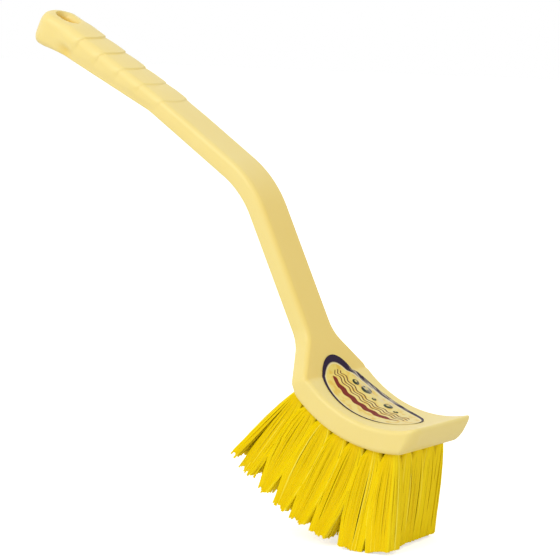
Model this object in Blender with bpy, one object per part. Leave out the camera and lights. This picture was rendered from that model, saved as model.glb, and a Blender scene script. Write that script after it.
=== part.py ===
"""Sink cleaning brush: a one-piece plastic handle and curved head with 35 bristle tufts.

The head is a plate curved about one level axis, the head axis, and the bristles stand
along the radii of that curve. Built about the head axis, then set down on the floor,
with X along the brush, the tip of the head towards +X, and Z up.
"""

import math
import random

import bmesh
import bpy
from mathutils import Matrix, Vector

# Head plate
HEAD_WIDTH = 0.0470
HEAD_THICKNESS = 0.0104
HEAD_TOP_RADIUS = 0.0540
HEAD_FRONT_ANGLE = math.radians(-16.5)
HEAD_ARC_END_ANGLE = math.radians(45.8)
HEAD_TOP_EDGE = 0.0020
HEAD_BOTTOM_EDGE = 0.0023
FRONT_CORNER_RADIUS = 0.0062
FRONT_TOP_EDGE = 0.0014
FRONT_BOTTOM_EDGE = 0.0046
FRONT_LEAN = 0.0091
FRONT_LEAN_LENGTH = 0.0160

# Neck, where the stem widens into the head
NECK_BEND_RADIUS = 0.0120
NECK_FLANK_ANGLE = math.radians(39.0)
NECK_FILLET_RADIUS = 0.0144
NECK_CORNER_RADIUS = 0.0035
NECK_CORNER_ABOVE_BEND = 0.0008

# Stem
STEM_WIDTH = 0.0196
STEM_THICKNESS = 0.0089
STEM_EDGE = 0.0024
STEM_BOTTOM_EDGE = 0.0020
STEM_ANGLE = math.radians(65.3)
LOWER_STEM_LENGTH = 0.0764
STEM_BEND_RADIUS = 0.0443
UPPER_STEM_ANGLE = math.radians(33.6)
UPPER_STEM_LENGTH = 0.0444

# Grip with overlapping scale-like steps
GRIP_ANGLE = math.radians(27.8)
GRIP_BEND_RADIUS = 0.0600
GRIP_LENGTH = 0.0520
GRIP_WIDTH = 0.0190
GRIP_THICKNESS = 0.0136
GRIP_EDGE = 0.0038
SCALE_COUNT = 5
SCALE_PITCH = 0.0130
SCALE_LEAD = 0.0058
SCALE_RISE = 0.0007
SCALE_STEP_LENGTH = 0.0005
SCALE_BOW = 0.0023
SCALE_SIDE_SHARE = 0.45
FIRST_SCALE_SHARE = 0.50

# Hanging eye at the end of the handle
EYE_LENGTH = 0.0245
EYE_WIDTH = 0.0208
EYE_THICKNESS = 0.0161
EYE_EDGE = 0.0042
EYE_BOTTOM_EDGE = 0.0034
EYE_END_ANGLE = math.radians(13.4)
EYE_LEAN = 0.0035
EYE_LEAN_LENGTH = 0.0140
EYE_SLOT_LENGTH = 0.0134
EYE_SLOT_WIDTH = 0.0068
EYE_SLOT_FROM_END = 0.0138
EYE_MOUTH_ROUNDING = 0.0022

# Underside widths of the handle as shares of the top's
STEM_UNDER_SHARE = 0.96
GRIP_UNDER_SHARE = 0.88
EYE_UNDER_SHARE = 0.98

# Bristle tufts: rows along the head, columns across it
ROW_COUNT = 7
COLUMN_COUNT = 5
FIRST_ROW_ANGLE = math.radians(0.2)
ROW_ANGLE = math.radians(7.85)
COLUMN_PITCH = 0.0089
TIP_RADIUS = 0.1092
FIRST_TIP_ANGLE = math.radians(4.6)
TIP_ROW_ANGLE = math.radians(6.8)
FRONT_TRIM = 0.0030
FLOOR_TRIM = 0.0005
PLUG_RADIUS = 0.0021
PLUG_LENGTH = 0.0053
PLUG_SIDES = 10
PLUG_CORE_RADIUS = 0.0009
PLUG_CORE_SIDES = 3
PLUG_CLEARANCE = 0.0003
ANCHOR_HEIGHT = 0.0016
ANCHOR_WIRE = 0.0005
ANCHOR_BITE = 0.0005
STRAND_WIDTH = 0.0015
STRAND_GAP = 0.0010
SIDE_SPLAY = 0.0012
TIP_LENGTH_SPREAD = 0.0020
TIP_SIDE_SPREAD = 0.0003
KNEE_LENGTH_SHARE = 0.42
KNEE_SPREAD_SHARE = 0.30
STRAND_FILL_SHARE = 0.88

# Label stuck on the hollow of the head
LABEL_LENGTH = 0.0614
LABEL_WIDTH = 0.0331
LABEL_THICKNESS = 0.0004
LABEL_CLEARANCE = 0.0003
LABEL_FROM_FRONT = 0.0150
LABEL_POINTS = 32
LABEL_RINGS = 4

# Mesh fineness
ARC_STEP = 0.0030
FINE_STEP = 0.0017
EDGE_STEPS = 4
UNDER_EDGE_STEPS = 3
END_STEPS = 6
FRONT_EDGE_SHARES = (0.12, 0.45, 1.0)
CUT_OVERRUN = 0.0030
LEAST_RING_GAP = 0.00035
SHARP_ANGLE = math.radians(35.0)

# Colours and finishes
PLASTIC_COLOUR = (0.93, 0.79, 0.36, 1.0)
BRISTLE_COLOUR = (0.83, 0.66, 0.01, 1.0)
LABEL_COLOUR = (0.74, 0.58, 0.16, 1.0)
PLASTIC_ROUGHNESS = 0.42
BRISTLE_ROUGHNESS = 0.35
LABEL_ROUGHNESS = 0.25


def clear_scene():
    """Remove everything that the start-up file holds."""
    for item in list(bpy.data.objects):
        bpy.data.objects.remove(item, do_unlink=True)


def make_material(name, colour, roughness):
    """A Principled material of one colour, not metallic."""
    material = bpy.data.materials.new(name)
    material.use_nodes = True
    shader = material.node_tree.nodes["Principled BSDF"]
    shader.inputs["Base Color"].default_value = colour
    shader.inputs["Roughness"].default_value = roughness
    shader.inputs["Metallic"].default_value = 0.0
    return material


def make_object(name, mesh_data, material, stand):
    """Turn a bmesh into a smooth-shaded object on the brush's own empty."""
    bmesh.ops.recalc_face_normals(mesh_data, faces=mesh_data.faces)
    mesh = bpy.data.meshes.new(name)
    mesh_data.to_mesh(mesh)
    mesh_data.free()
    mesh.materials.append(material)
    mesh.shade_smooth()
    mesh.set_sharp_from_angle(angle=SHARP_ANGLE)
    item = bpy.data.objects.new(name, mesh)
    bpy.context.scene.collection.objects.link(item)
    item.parent = stand
    return item


# The mid line of the moulding, from the tip of the head to the end of the handle

def mid_line_pieces():
    """Length, start slope and turn per metre of each arc and straight."""
    head_radius = HEAD_TOP_RADIUS + HEAD_THICKNESS / 2
    turns = [
        (HEAD_FRONT_ANGLE, HEAD_ARC_END_ANGLE, head_radius),
        (HEAD_ARC_END_ANGLE, STEM_ANGLE, NECK_BEND_RADIUS),
        (STEM_ANGLE, STEM_ANGLE, LOWER_STEM_LENGTH),
        (STEM_ANGLE, UPPER_STEM_ANGLE, STEM_BEND_RADIUS),
        (UPPER_STEM_ANGLE, UPPER_STEM_ANGLE, UPPER_STEM_LENGTH),
        (UPPER_STEM_ANGLE, GRIP_ANGLE, GRIP_BEND_RADIUS),
        (GRIP_ANGLE, GRIP_ANGLE, GRIP_LENGTH),
        (GRIP_ANGLE, EYE_END_ANGLE, EYE_LENGTH / abs(GRIP_ANGLE - EYE_END_ANGLE)),
    ]
    pieces = []
    for start, end, size in turns:
        if start == end:
            pieces.append((size, start, 0.0))
        else:
            length = abs(end - start) * size
            pieces.append((length, start, (end - start) / length))
    return pieces


def station_list(pieces):
    """Distance along the mid line at the end of each piece."""
    stations = [0.0]
    for length, _, _ in pieces:
        stations.append(stations[-1] + length)
    return stations


PIECES = mid_line_pieces()
STATIONS = station_list(PIECES)
(FRONT_AT, ARC_END_AT, NECK_AT, BEND_AT, UPPER_AT,
 GRIP_BEND_AT, GRIP_AT, EYE_AT, END_AT) = STATIONS


def along(slope):
    """Direction of the mid line at a slope, towards the handle's end."""
    return Vector((-math.cos(slope), 0.0, math.sin(slope)))


def upward(slope):
    """Direction square to the mid line, towards the top face."""
    return Vector((math.sin(slope), 0.0, math.cos(slope)))


def mid_line(distance):
    """Point and slope of the mid line, measured from the head axis."""
    head_radius = HEAD_TOP_RADIUS + HEAD_THICKNESS / 2
    point = -head_radius * upward(HEAD_FRONT_ANGLE)
    for index, (length, slope, turn) in enumerate(PIECES):
        last = index == len(PIECES) - 1
        part = distance if last or distance < length else length
        if index == 0 and distance < 0.0:
            part = distance
        end_slope = slope + turn * part
        if turn:
            point = point - (upward(end_slope) - upward(slope)) / turn
        else:
            point = point + along(slope) * part
        distance -= part
        if distance <= 0.0:
            return point, end_slope
    return point, end_slope


def blend(value, start, end):
    """Rise smoothly from 0 at start to 1 at end."""
    share = min(1.0, max(0.0, (value - start) / (end - start)))
    return share * share * (3.0 - 2.0 * share)


def ramp(value, table):
    """Read a list of (distance, size) with straight runs between."""
    if value <= table[0][0]:
        return table[0][1]
    for (low, size_low), (high, size_high) in zip(table, table[1:]):
        if value <= high:
            share = (value - low) / (high - low)
            return size_low + (size_high - size_low) * share
    return table[-1][1]


# Sizes of the moulding along its mid line

def neck_points():
    """Half widths of the neck: corner, straight flank and hollow fillet."""
    corner_at = NECK_AT + NECK_CORNER_ABOVE_BEND
    slope = math.tan(NECK_FLANK_ANGLE)
    stem = STEM_WIDTH / 2
    head = HEAD_WIDTH / 2
    fillet_top = stem + NECK_FILLET_RADIUS * (1.0 - math.cos(NECK_FLANK_ANGLE))
    fillet_at = corner_at + (head - fillet_top) / slope
    fillet_end = fillet_at + NECK_FILLET_RADIUS * math.sin(NECK_FLANK_ANGLE)
    setback = NECK_CORNER_RADIUS * math.tan(NECK_FLANK_ANGLE / 2)
    points = []
    for step in range(EDGE_STEPS + 1):
        angle = NECK_FLANK_ANGLE * step / EDGE_STEPS
        points.append((corner_at - setback + NECK_CORNER_RADIUS * math.sin(angle),
                       head - NECK_CORNER_RADIUS * (1.0 - math.cos(angle))))
    for step in range(EDGE_STEPS + 2):
        angle = NECK_FLANK_ANGLE * (1.0 - step / (EDGE_STEPS + 1))
        points.append((fillet_end - NECK_FILLET_RADIUS * math.sin(angle),
                       stem + NECK_FILLET_RADIUS * (1.0 - math.cos(angle))))
    return points


def front_points():
    """Half widths of the rounded corners at the tip of the head."""
    points = []
    for step in range(END_STEPS):
        angle = math.radians(90.0) * step / (END_STEPS - 1)
        points.append((FRONT_CORNER_RADIUS * (1.0 - math.cos(angle)),
                       HEAD_WIDTH / 2 - FRONT_CORNER_RADIUS * (1.0 - math.sin(angle))))
    return points


def end_points():
    """Half widths of the half-round end of the hanging eye."""
    radius = EYE_WIDTH / 2
    points = []
    for step in range(END_STEPS):
        angle = math.radians(90.0) * step / END_STEPS
        points.append((END_AT - radius + radius * math.sin(angle), radius * math.cos(angle)))
    angle = math.radians(90.0) * (1.0 - 1.0 / (3 * END_STEPS))
    points.append((END_AT - radius + radius * math.sin(angle), radius * math.cos(angle)))
    return points


WIDTH_TABLE = (front_points() + neck_points()
               + [(GRIP_BEND_AT, STEM_WIDTH / 2), (EYE_AT, GRIP_WIDTH / 2)] + end_points())


def half_width(distance):
    """Half the width of the top of the moulding."""
    return ramp(distance, WIDTH_TABLE)


def thickness(distance):
    """Depth of the moulding square to its mid line."""
    neck = blend(distance, ARC_END_AT, NECK_AT)
    eye_middle = END_AT - EYE_WIDTH / 2
    table = [(ARC_END_AT, HEAD_THICKNESS), (NECK_AT, STEM_THICKNESS),
             (GRIP_BEND_AT, STEM_THICKNESS), (EYE_AT, GRIP_THICKNESS),
             (eye_middle, EYE_THICKNESS), (END_AT, EYE_THICKNESS)]
    if ARC_END_AT < distance < NECK_AT:
        return HEAD_THICKNESS + (STEM_THICKNESS - HEAD_THICKNESS) * neck
    return ramp(distance, table)


def edge_radii(distance):
    """Rounding of the top and bottom edges, and the underside's width share."""
    neck_top = NECK_AT + NECK_CORNER_ABOVE_BEND + HEAD_WIDTH / 2
    eye_middle = END_AT - EYE_WIDTH / 2
    top = ramp(distance, [(NECK_AT, HEAD_TOP_EDGE), (neck_top, STEM_EDGE),
                          (GRIP_BEND_AT, STEM_EDGE), (GRIP_AT, GRIP_EDGE), (EYE_AT, EYE_EDGE)])
    under = ramp(distance, [(NECK_AT, HEAD_BOTTOM_EDGE), (neck_top, STEM_BOTTOM_EDGE),
                            (EYE_AT, STEM_BOTTOM_EDGE), (eye_middle, EYE_BOTTOM_EDGE)])
    share = ramp(distance, [(NECK_AT, 1.0), (neck_top, STEM_UNDER_SHARE),
                            (GRIP_BEND_AT, STEM_UNDER_SHARE), (GRIP_AT, GRIP_UNDER_SHARE),
                            (EYE_AT, GRIP_UNDER_SHARE), (eye_middle, EYE_UNDER_SHARE)])
    return top, under, share


def edge_inset(radius, depth):
    """How far a rounded end edge draws in at a depth from the end."""
    if depth >= radius:
        return 0.0
    return radius - math.sqrt(max(0.0, radius ** 2 - (radius - depth) ** 2))


def section(distance):
    """Right half of a cross-section: (side, height, outward side, outward height)."""
    side = half_width(distance)
    half = thickness(distance) / 2
    top_edge, under_edge, share = edge_radii(distance)
    from_end = END_AT - distance
    top = half - edge_inset(FRONT_TOP_EDGE, distance) - edge_inset(EYE_EDGE, from_end)
    under = half - edge_inset(FRONT_BOTTOM_EDGE, distance)
    under -= edge_inset(EYE_BOTTOM_EDGE, from_end)
    top_edge = min(top_edge, side, top)
    under_side = side * share
    under_edge = min(under_edge, under_side, under)
    points = [(0.0, top, 0.0, 1.0)]
    for step in range(EDGE_STEPS + 1):
        angle = math.radians(90.0) * (1.0 - step / EDGE_STEPS)
        points.append((side - top_edge + top_edge * math.cos(angle),
                       top - top_edge + top_edge * math.sin(angle),
                       math.cos(angle), math.sin(angle)))
    for step in range(UNDER_EDGE_STEPS + 1):
        angle = -math.radians(90.0) * step / UNDER_EDGE_STEPS
        points.append((under_side - under_edge + under_edge * math.cos(angle),
                       -under + under_edge + under_edge * math.sin(angle),
                       math.cos(angle), math.sin(angle)))
    points.append((0.0, -under, 0.0, -1.0))
    return points


# Grip steps

SCALES_AT = GRIP_AT - SCALE_LEAD


def scale_rise(distance):
    """Height of the overlapping steps: each rises towards the head, then drops."""
    place = (distance - SCALES_AT) / SCALE_PITCH
    if place < 0.0 or place > SCALE_COUNT:
        return 0.0
    share = place - math.floor(place)
    if share < SCALE_STEP_LENGTH / SCALE_PITCH / 2:
        return 0.0
    size = ramp(math.floor(place), [(0, FIRST_SCALE_SHARE), (SCALE_COUNT - 1, 1.0)])
    return SCALE_RISE * size * (1.0 - share ** 3)


def scale_bow(distance):
    """How far the middle of a ring is bowed towards the head."""
    before = blend(distance, SCALES_AT - SCALE_PITCH, SCALES_AT)
    after = 1.0 - blend(distance, EYE_AT, EYE_AT + SCALE_PITCH)
    return SCALE_BOW * before * after


def ring_stations():
    """Distances of all cross-sections along the mid line."""
    places = [distance for distance, _ in WIDTH_TABLE]
    for index, (length, _, turn) in enumerate(PIECES):
        steps = max(1, round(length / ARC_STEP)) if turn else 1
        places += [STATIONS[index] + length * step / steps for step in range(steps + 1)]
    for edge in (FRONT_TOP_EDGE, FRONT_BOTTOM_EDGE):
        places += [edge * share for share in FRONT_EDGE_SHARES]
    places.append(FRONT_LEAN_LENGTH)
    grip_end = SCALES_AT + SCALE_COUNT * SCALE_PITCH
    grip = []
    for count in range(SCALE_COUNT):
        crease = SCALES_AT + count * SCALE_PITCH
        grip += [crease, crease + SCALE_STEP_LENGTH,
                 crease + SCALE_PITCH / 3, crease + SCALE_PITCH * 2 / 3]
    grip.append(grip_end)
    places = [place for place in places if not SCALES_AT - FINE_STEP < place < grip_end + FINE_STEP]
    kept = []
    for place in sorted(places + grip):
        if not kept or place - kept[-1] > LEAST_RING_GAP:
            kept.append(place)
    return kept


def front_lean(distance, height):
    """Extra distance from the tip for low points, so that the front wall leans."""
    half = HEAD_THICKNESS / 2
    share = 1.0 - blend(distance, 0.0, FRONT_LEAN_LENGTH)
    return FRONT_LEAN * share * (half - height) / (half + half)


def end_lean(distance, height):
    """How far high points are drawn back from the end, so that the end wall leans."""
    half = EYE_THICKNESS / 2
    share = blend(distance, END_AT - EYE_LEAN_LENGTH, END_AT)
    return EYE_LEAN * share * (height + half) / (half + half)


def ring_points(distance):
    """World points of one closed cross-section."""
    rise = scale_rise(distance)
    bow = scale_bow(distance)
    half = half_width(distance)
    right = []
    for side, height, out_side, out_height in section(distance):
        lift = max(0.0, out_height)
        spread = max(0.0, out_side) * SCALE_SIDE_SHARE
        if out_height < 0.0:
            spread = 0.0
        shift = front_lean(distance, height) - end_lean(distance, height)
        shift -= bow * lift * (1.0 - (side / half) ** 2)
        point, slope = mid_line(distance + shift)
        place = point + upward(slope) * (height + rise * lift)
        right.append((place, side + rise * spread))
    ring = [place + Vector((0.0, side, 0.0)) for place, side in right]
    ring += [place - Vector((0.0, side, 0.0)) for place, side in right[-2:0:-1]]
    return ring


def loft(rings):
    """Closed body through rings of equal counts, with flat end caps."""
    body = bmesh.new()
    loops = [[body.verts.new(point) for point in ring] for ring in rings]
    for low, high in zip(loops, loops[1:]):
        for index in range(len(low)):
            after = (index + 1) % len(low)
            body.faces.new((low[index], low[after], high[after], high[index]))
    body.faces.new(list(reversed(loops[0])))
    body.faces.new(loops[-1])
    return body


# Cutters

def slot_outline(grow):
    """Outline of the eye's slot, widened all round by grow."""
    radius = EYE_SLOT_WIDTH / 2 + grow
    reach = (EYE_SLOT_LENGTH - EYE_SLOT_WIDTH) / 2
    points = []
    for end in (1.0, -1.0):
        for step in range(END_STEPS + 1):
            angle = math.radians(180.0) * (step / END_STEPS - 0.5)
            points.append((end * (reach + radius * math.cos(angle)),
                           end * radius * math.sin(angle)))
    return points


def make_slot_cutter(material, stand):
    """Cutter for the hanging slot, with rounded mouths on both faces."""
    middle_at = END_AT - EYE_SLOT_FROM_END
    middle, slope = mid_line(middle_at)
    half = thickness(middle_at) / 2
    levels = []
    for step in range(UNDER_EDGE_STEPS + 1):
        angle = math.radians(90.0) * step / UNDER_EDGE_STEPS
        levels.append((half - EYE_MOUTH_ROUNDING * (1.0 - math.sin(angle)),
                       EYE_MOUTH_ROUNDING * (1.0 - math.cos(angle))))
    levels.append((half + CUT_OVERRUN, EYE_MOUTH_ROUNDING))
    levels = [(-height, grow) for height, grow in reversed(levels)] + levels
    rings = []
    for height, grow in levels:
        rings.append([middle + along(slope) * run + upward(slope) * height
                      + Vector((0.0, side, 0.0)) for run, side in slot_outline(grow)])
    return make_cutter("cutter_eye_slot", loft(rings), material, stand)


def make_cutter(name, body, material, stand):
    """A hidden object for a Boolean cut."""
    cutter = make_object(name, body, material, stand)
    cutter.hide_render = True
    cutter.display_type = "WIRE"
    return cutter


# Bristle tufts

def anchor_end(body, wall, clearance):
    """One end of the flat anchor wire, which bites into the wall of the hole."""
    corners = [vert.co.copy() for vert in wall]
    middle = sum(corners, Vector()) / len(corners)
    outward = Vector((middle.x, middle.y, 0.0)).normalized()
    across = Vector((-outward.y, outward.x, 0.0))
    half = ANCHOR_WIRE / 2 + clearance
    tips = []
    for corner in corners:
        sign = 1.0 if (corner - middle).dot(across) > 0.0 else -1.0
        place = Vector((middle.x, middle.y, corner.z)) + across * half * sign
        tips.append(body.verts.new(place + outward * ANCHOR_BITE))
    for index in range(len(wall)):
        after = (index + 1) % len(wall)
        body.faces.new((wall[index], wall[after], tips[after], tips[index]))
    body.faces.new(tips)


def peg(body, clearance, mouth):
    """Walls and floor of a tuft's plug, or of its hole, open at the mouth.

    The plug runs inwards along Z from the mouth. Its deepest part carries the two
    ends of the anchor wire. Returns the ring of vertices at the mouth.
    """
    half_turn = math.radians(180.0) / PLUG_SIDES
    radius = PLUG_RADIUS + clearance / math.cos(half_turn)
    bottom = PLUG_LENGTH + clearance
    step = PLUG_LENGTH - ANCHOR_HEIGHT - clearance
    rings = []
    for height in (bottom, step, mouth):
        rings.append([body.verts.new((radius * math.sin(half_turn * (2 * index + 1)),
                                      radius * math.cos(half_turn * (2 * index + 1)), height))
                      for index in range(PLUG_SIDES)])
    for level in (0, 1):
        for index in range(PLUG_SIDES):
            after = (index + 1) % PLUG_SIDES
            wall = (rings[level][index], rings[level][after],
                    rings[level + 1][after], rings[level + 1][index])
            if level == 0 and (index + 1) % (PLUG_SIDES // 2) == 0:
                anchor_end(body, wall, clearance)
            else:
                body.faces.new(wall)
    body.faces.new(list(reversed(rings[0])))
    return rings[-1]


def strand_cells(body, rim):
    """Share the plug's mouth out into one triangle for each strand."""
    turn = 2 * math.pi / PLUG_CORE_SIDES
    core = [body.verts.new((PLUG_CORE_RADIUS * math.sin(turn * index),
                            PLUG_CORE_RADIUS * math.cos(turn * index), 0.0))
            for index in range(PLUG_CORE_SIDES)]
    nearest = [round((index + 1) / PLUG_SIDES * PLUG_CORE_SIDES) % PLUG_CORE_SIDES
               for index in range(PLUG_SIDES)]
    cells = [tuple(core)]
    for index in range(PLUG_SIDES):
        after = (index + 1) % PLUG_SIDES
        cells.append((rim[index], rim[after], core[nearest[index]]))
        if nearest[index] != nearest[index - 1]:
            cells.append((rim[index], core[nearest[index]], core[nearest[index - 1]]))
    return cells


def tip_radius(angle):
    """Distance of the bristle tips from the head axis, a little less at the very front."""
    front = FIRST_TIP_ANGLE - TIP_ROW_ANGLE / 2
    return TIP_RADIUS - FRONT_TRIM * (1.0 - blend(angle, front, front + TIP_ROW_ANGLE))


def floor_depth():
    """Depth of the floor below the head axis, where the lowest tips are cut flat."""
    rows = [FIRST_TIP_ANGLE + TIP_ROW_ANGLE * row / ROW_COUNT for row in range(2 * ROW_COUNT)]
    return max(tip_radius(angle) * math.cos(angle) for angle in rows) - FLOOR_TRIM


def cell_area(corners):
    """Area of a triangle."""
    return (corners[1] - corners[0]).cross(corners[2] - corners[0]).length / 2


def make_strand(body, cell, tip, growth, angle, root_radius):
    """One bristle: a three-sided strand with a knee, cut flat where it meets the floor."""
    corners = [vert.co.copy() for vert in cell]
    base = sum(corners, Vector()) / len(corners)
    knee = base.lerp(Vector((tip.x, tip.y, 0.0)), KNEE_SPREAD_SHARE)
    knee.z = tip.z * KNEE_LENGTH_SHARE
    knee_growth = 1.0 + (growth - 1.0) * KNEE_SPREAD_SHARE
    even = STRAND_WIDTH * math.sqrt(math.sqrt(3.0) / 4 / cell_area(corners))
    rings = []
    for middle, room in ((knee, knee_growth), (tip, growth)):
        size = min(even, room * STRAND_FILL_SHARE)
        rings.append([middle + (corner - base) * size for corner in corners])
    floor = floor_depth()
    for index, (upper, lower) in enumerate(zip(*rings)):
        depths = [point.x * math.sin(angle) + (root_radius - point.z) * math.cos(angle)
                  for point in (upper, lower)]
        if depths[1] > floor:
            share = (floor - depths[0]) / (depths[1] - depths[0])
            rings[1][index] = upper.lerp(lower, share)
    loops = [list(cell)] + [[body.verts.new(point) for point in ring] for ring in rings]
    for low, high in zip(loops, loops[1:]):
        for index in range(len(low)):
            after = (index + 1) % len(low)
            body.faces.new((low[index], low[after], high[after], high[index]))
    body.faces.new(loops[-1])


def underside_radius(angle):
    """Distance from the head axis to the underside along a radius of the head."""
    low, high = FRONT_AT, NECK_AT + HEAD_THICKNESS
    for _ in range(40):
        middle = (low + high) / 2
        point, slope = mid_line(middle)
        point -= upward(slope) * thickness(middle) / 2
        if math.atan2(-point.x, -point.z) < angle:
            low = middle
        else:
            high = middle
    return point.length


def tuft_place(row, column):
    """Angle, side position and root radius of a tuft."""
    angle = FIRST_ROW_ANGLE + ROW_ANGLE * row
    side = COLUMN_PITCH * (column - (COLUMN_COUNT - 1) / 2)
    return angle, side, underside_radius(angle)


def make_tuft(row, column, material, stand):
    """A tuft: the plug of folded bristle in its hole, its anchor, and its strands."""
    chance = random.Random(row * COLUMN_COUNT + column)
    angle, side, root_radius = tuft_place(row, column)
    body = bmesh.new()
    cells = strand_cells(body, peg(body, 0.0, 0.0))
    centres = [sum((vert.co for vert in cell), Vector()) / len(cell) for cell in cells]
    reach = max(centre.length for centre in centres)
    edge_column = (COLUMN_COUNT - 1) / 2 * COLUMN_PITCH
    side_growth = 1.0 + SIDE_SPLAY / edge_column
    margin = STRAND_WIDTH / 2 + STRAND_GAP / 2 + TIP_SIDE_SPREAD
    half_along = TIP_RADIUS * TIP_ROW_ANGLE / 2 - margin
    lean = TIP_RADIUS * (FIRST_TIP_ANGLE + TIP_ROW_ANGLE * row - angle)
    half_across = COLUMN_PITCH * side_growth / 2 - margin
    growth = min(half_along, half_across) / reach
    for cell, centre in zip(cells, centres):
        run = centre.x / reach * half_along + chance.uniform(-TIP_SIDE_SPREAD, TIP_SIDE_SPREAD)
        run -= lean
        over = centre.y / reach * half_across + chance.uniform(-TIP_SIDE_SPREAD, TIP_SIDE_SPREAD)
        radius = tip_radius(angle - run / TIP_RADIUS)
        radius -= TIP_LENGTH_SPREAD * chance.random() * row / (ROW_COUNT - 1)
        tip = Vector((radius * math.sin(run / TIP_RADIUS), over + side * (side_growth - 1.0),
                      root_radius - radius * math.cos(run / TIP_RADIUS)))
        make_strand(body, cell, tip, growth, angle, root_radius)
    tuft = make_object(f"tuft_r{row + 1}_c{column + 1}", body, material, stand)
    tuft.location = -root_radius * upward(angle) + Vector((0.0, side, 0.0))
    tuft.rotation_euler = (0.0, angle, 0.0)
    return tuft


def make_hole_cutter(material, stand):
    """Cutter for all the tuft holes, with the bite of each anchor wire."""
    body = bmesh.new()
    for row in range(ROW_COUNT):
        for column in range(COLUMN_COUNT):
            angle, side, root_radius = tuft_place(row, column)
            before = len(body.verts)
            rim = peg(body, PLUG_CLEARANCE, -CUT_OVERRUN)
            body.faces.new(rim)
            body.verts.ensure_lookup_table()
            place = (Matrix.Translation(-root_radius * upward(angle) + Vector((0.0, side, 0.0)))
                     @ Matrix.Rotation(angle, 4, "Y"))
            bmesh.ops.transform(body, matrix=place, verts=body.verts[before:])
    return make_cutter("cutter_tuft_holes", body, material, stand)


# The moulding and its label

def cut(item, cutter):
    """Cut one object by another, as a live modifier."""
    modifier = item.modifiers.new(cutter.name, "BOOLEAN")
    modifier.operation = "DIFFERENCE"
    modifier.solver = "EXACT"
    modifier.object = cutter


def make_moulding(material, stand):
    """Handle and head in one piece, with the hanging slot and the tuft holes."""
    body = loft([ring_points(distance) for distance in ring_stations()])
    moulding = make_object("handle_and_head", body, material, stand)
    cut(moulding, make_slot_cutter(material, stand))
    cut(moulding, make_hole_cutter(material, stand))
    return moulding


def make_label(material, stand):
    """Oval label that follows the hollow top of the head."""
    centre_at = LABEL_FROM_FRONT + LABEL_LENGTH / 2
    ring_shares = [(count + 1) / LABEL_RINGS for count in range(LABEL_RINGS)]
    ring_shares[0] /= LABEL_RINGS
    levels = [(share, LABEL_CLEARANCE) for share in ring_shares]
    levels += [(share, LABEL_CLEARANCE + LABEL_THICKNESS) for share in reversed(ring_shares)]
    rings = []
    for share, lift in levels:
        ring = []
        for index in range(LABEL_POINTS):
            angle = 2 * math.pi * index / LABEL_POINTS
            distance = centre_at + LABEL_LENGTH / 2 * share * math.cos(angle)
            side = LABEL_WIDTH / 2 * share * math.sin(angle)
            point, slope = mid_line(distance)
            height = thickness(distance) / 2 + lift
            ring.append(point + upward(slope) * height + Vector((0.0, side, 0.0)))
        rings.append(ring)
    return make_object("label", loft(rings), material, stand)


def set_down(stand, moulding):
    """Put the brush's floor point, under the middle of its length, at the origin."""
    bpy.context.view_layer.update()
    ends = [corner[0] for corner in moulding.bound_box]
    stand.location = (-(min(ends) + max(ends)) / 2, 0.0, floor_depth())
    bpy.context.view_layer.update()


def main():
    clear_scene()
    plastic = make_material("handle_plastic", PLASTIC_COLOUR, PLASTIC_ROUGHNESS)
    bristle = make_material("bristle_plastic", BRISTLE_COLOUR, BRISTLE_ROUGHNESS)
    film = make_material("label_film", LABEL_COLOUR, LABEL_ROUGHNESS)
    stand = bpy.data.objects.new("brush", None)
    bpy.context.scene.collection.objects.link(stand)
    moulding = make_moulding(plastic, stand)
    make_label(film, stand)
    for row in range(ROW_COUNT):
        for column in range(COLUMN_COUNT):
            make_tuft(row, column, bristle, stand)
    set_down(stand, moulding)


main()
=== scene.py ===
"""Looks of the sink cleaning brush: moulded handle and head, bristle tufts and label.

Everything is built about the head axis, the level line that the head's plate and the
bristles curve round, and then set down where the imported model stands. Lengths are in metres
and angles in radians, unless a comment says otherwise.
"""

import math
import random
from itertools import accumulate

import bmesh
import bpy
from mathutils import Matrix, Vector, kdtree


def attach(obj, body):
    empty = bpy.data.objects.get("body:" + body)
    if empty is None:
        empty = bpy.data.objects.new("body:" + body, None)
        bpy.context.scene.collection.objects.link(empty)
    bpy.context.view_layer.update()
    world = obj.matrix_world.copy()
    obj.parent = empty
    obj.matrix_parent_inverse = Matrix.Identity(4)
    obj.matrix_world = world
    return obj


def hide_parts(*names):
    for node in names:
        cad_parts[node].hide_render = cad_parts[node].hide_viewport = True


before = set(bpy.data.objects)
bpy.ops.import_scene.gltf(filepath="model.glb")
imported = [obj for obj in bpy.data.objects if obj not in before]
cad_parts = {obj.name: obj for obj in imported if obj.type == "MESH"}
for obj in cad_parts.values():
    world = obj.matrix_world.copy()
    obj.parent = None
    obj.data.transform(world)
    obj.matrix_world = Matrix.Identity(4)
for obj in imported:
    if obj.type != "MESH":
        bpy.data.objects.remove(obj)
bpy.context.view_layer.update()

# Where the head axis stands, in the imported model's frame
HEAD_AXIS = Vector((0.094745, 0.0, 0.107719))
FLOOR_DEPTH = HEAD_AXIS.z

# Head plate
HEAD_WIDTH = 0.0470
HEAD_THICKNESS = 0.0104
HEAD_TOP_RADIUS = 0.0540
HEAD_MIDDLE_RADIUS = HEAD_TOP_RADIUS + HEAD_THICKNESS / 2
HEAD_FRONT_ANGLE = math.radians(-16.5)
HEAD_ARC_END_ANGLE = math.radians(45.8)
HEAD_TOP_EDGE = 0.0020
HEAD_BOTTOM_EDGE = 0.0023
FRONT_CORNER_RADIUS = 0.0062
FRONT_TOP_EDGE = 0.0032
FRONT_BOTTOM_EDGE = 0.0046
FRONT_LEAN = 0.0091
FRONT_LEAN_LENGTH = 0.0160

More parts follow.
